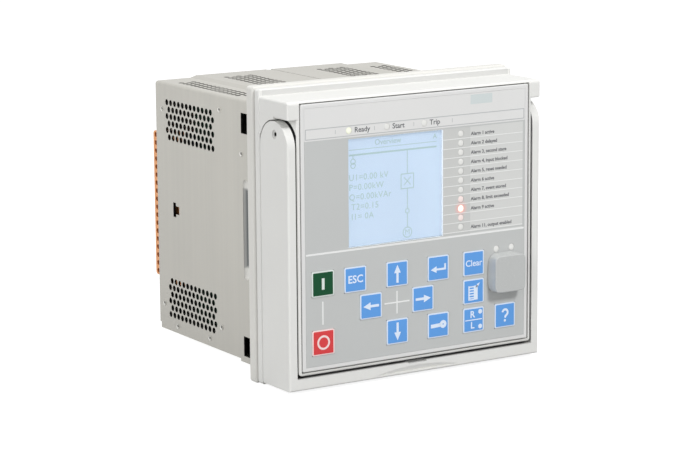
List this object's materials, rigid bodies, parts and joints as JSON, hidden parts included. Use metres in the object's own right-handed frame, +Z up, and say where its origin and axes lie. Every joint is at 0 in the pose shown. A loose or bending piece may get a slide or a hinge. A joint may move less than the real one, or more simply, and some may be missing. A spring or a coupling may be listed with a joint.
{
  "type": "protection relay",
  "caption": "Flush-mounted protection relay with a display panel, push keys, a swing handle and a plug-in unit in a vented sheet-metal case.",
  "frame": {"origin": "centre of the flange's rear face, which lies on the switchgear panel", "axes": "+X to the right seen from the front, +Y from the front to the back, +Z up"},
  "size_m": [0.178, 0.1919, 0.174],
  "materials": {
    "housing_white": "satin",
    "bezel_pale": "satin",
    "foil_grey": "fine grained",
    "seal_rubber": "matte",
    "zinc_sheet": "satin, grained upright",
    "steel": "satin",
    "dark_plastic": "matte",
    "terminal_black": "matte",
    "plug_orange": "satin",
    "plate_grey": "satin",
    "jack_shell": "satin",
    "window_clear": "clear",
    "lcd_glass": "gloss",
    "lens_clear": "clear",
    "board_green": "satin",
    "mat_rubber": "matte",
    "capacitor_sleeve": "gloss",
    "aluminium": "satin",
    "relay_case": "gloss",
    "transformer_core": "varnished",
    "chip_black": "matte",
    "cover_grey": "satin",
    "key_blue": "satin",
    "key_green": "satin",
    "key_red": "satin"
  },
  "bodies": {
    "case": {"mounting_flange": "housing_white", "front_seal": "seal_rubber", "case_left_sheet": "zinc_sheet", "case_right_sheet": "zinc_sheet", "case_top_left": "zinc_sheet", "case_top_right": "zinc_sheet", "case_bottom_sheet": "zinc_sheet", "case_rear_sheet": "zinc_sheet", "case_rivets": "zinc_sheet", "flange_screws": "steel", "guide_rails": "dark_plastic", "plug_sockets": "plug_orange", "analogue_block": "terminal_black", "rear_screws": "steel", "comm_plate": "plate_grey", "comm_jacks": "jack_shell", "earth_screw": "steel"},
    "plug_in_unit": {"front_housing": "housing_white", "bezel": "bezel_pale", "front_foil": "foil_grey", "display_window": "window_clear", "lcd_panel": "lcd_glass", "status_lenses": "lens_clear", "alarm_lenses": "lens_clear", "display_board": "board_green", "key_mat": "mat_rubber", "port_jack": "dark_plastic", "pivot_pins": "steel", "chassis_frame": "zinc_sheet", "chassis_screws": "steel", "power_board": "board_green", "io_board": "board_green", "analogue_board": "board_green", "processor_board": "board_green", "capacitors": "capacitor_sleeve", "heat_sink": "aluminium", "output_relays": "relay_case", "input_transformers": "transformer_core", "processor_chips": "chip_black", "board_plugs": "dark_plastic"},
    "handle": {"handle": "housing_white"},
    "port_cover": {"port_cover": "cover_grey"},
    "key_close": {"key_close": "key_green"},
    "key_open": {"key_open": "key_red"},
    "key_escape": {"key_escape": "key_blue"},
    "key_up": {"key_up": "key_blue"},
    "key_left": {"key_left": "key_blue"},
    "key_right": {"key_right": "key_blue"},
    "key_down": {"key_down": "key_blue"},
    "key_enter": {"key_enter": "key_blue"},
    "key_lock": {"key_lock": "key_blue"},
    "key_clear": {"key_clear": "key_blue"},
    "key_menu": {"key_menu": "key_blue"},
    "key_mode": {"key_mode": "key_blue"},
    "key_help": {"key_help": "key_blue"},
    "plug_left": {"plug_left": "plug_orange", "plug_left_screws": "steel"},
    "plug_mid": {"plug_mid": "plug_orange", "plug_mid_screws": "steel"}
  },
  "joints": [
    {"name": "unit_slide", "type": "slide", "parent": "case", "child": "plug_in_unit", "axis": [0, -1, 0], "range_m": [0, 0.12]},
    {"name": "handle_hinge", "type": "hinge", "parent": "plug_in_unit", "child": "handle", "pos_m": [0, -0.0287, 0.0623], "axis": [-1, 0, 0], "range_deg": [0, 42]},
    {"name": "port_cover_pull", "type": "slide", "parent": "plug_in_unit", "child": "port_cover", "axis": [0, -1, 0], "range_m": [0, 0.05]},
    {"name": "key_close_press", "type": "slide", "parent": "plug_in_unit", "child": "key_close", "axis": [0, 1, 0], "range_m": [0, 0.0005], "stiffness_N_per_m": 2000},
    {"name": "key_open_press", "type": "slide", "parent": "plug_in_unit", "child": "key_open", "axis": [0, 1, 0], "range_m": [0, 0.0005], "stiffness_N_per_m": 2000},
    {"name": "key_escape_press", "type": "slide", "parent": "plug_in_unit", "child": "key_escape", "axis": [0, 1, 0], "range_m": [0, 0.0005], "stiffness_N_per_m": 2000},
    {"name": "key_up_press", "type": "slide", "parent": "plug_in_unit", "child": "key_up", "axis": [0, 1, 0], "range_m": [0, 0.0005], "stiffness_N_per_m": 2000},
    {"name": "key_left_press", "type": "slide", "parent": "plug_in_unit", "child": "key_left", "axis": [0, 1, 0], "range_m": [0, 0.0005], "stiffness_N_per_m": 2000},
    {"name": "key_right_press", "type": "slide", "parent": "plug_in_unit", "child": "key_right", "axis": [0, 1, 0], "range_m": [0, 0.0005], "stiffness_N_per_m": 2000},
    {"name": "key_down_press", "type": "slide", "parent": "plug_in_unit", "child": "key_down", "axis": [0, 1, 0], "range_m": [0, 0.0005], "stiffness_N_per_m": 2000},
    {"name": "key_enter_press", "type": "slide", "parent": "plug_in_unit", "child": "key_enter", "axis": [0, 1, 0], "range_m": [0, 0.0005], "stiffness_N_per_m": 2000},
    {"name": "key_lock_press", "type": "slide", "parent": "plug_in_unit", "child": "key_lock", "axis": [0, 1, 0], "range_m": [0, 0.0005], "stiffness_N_per_m": 2000},
    {"name": "key_clear_press", "type": "slide", "parent": "plug_in_unit", "child": "key_clear", "axis": [0, 1, 0], "range_m": [0, 0.0005], "stiffness_N_per_m": 2000},
    {"name": "key_menu_press", "type": "slide", "parent": "plug_in_unit", "child": "key_menu", "axis": [0, 1, 0], "range_m": [0, 0.0005], "stiffness_N_per_m": 2000},
    {"name": "key_mode_press", "type": "slide", "parent": "plug_in_unit", "child": "key_mode", "axis": [0, 1, 0], "range_m": [0, 0.0005], "stiffness_N_per_m": 2000},
    {"name": "key_help_press", "type": "slide", "parent": "plug_in_unit", "child": "key_help", "axis": [0, 1, 0], "range_m": [0, 0.0005], "stiffness_N_per_m": 2000},
    {"name": "plug_left_pull", "type": "slide", "parent": "case", "child": "plug_left", "axis": [0, 1, 0], "range_m": [0, 0.03]},
    {"name": "plug_mid_pull", "type": "slide", "parent": "case", "child": "plug_mid", "axis": [0, 1, 0], "range_m": [0, 0.03]}
  ]
}
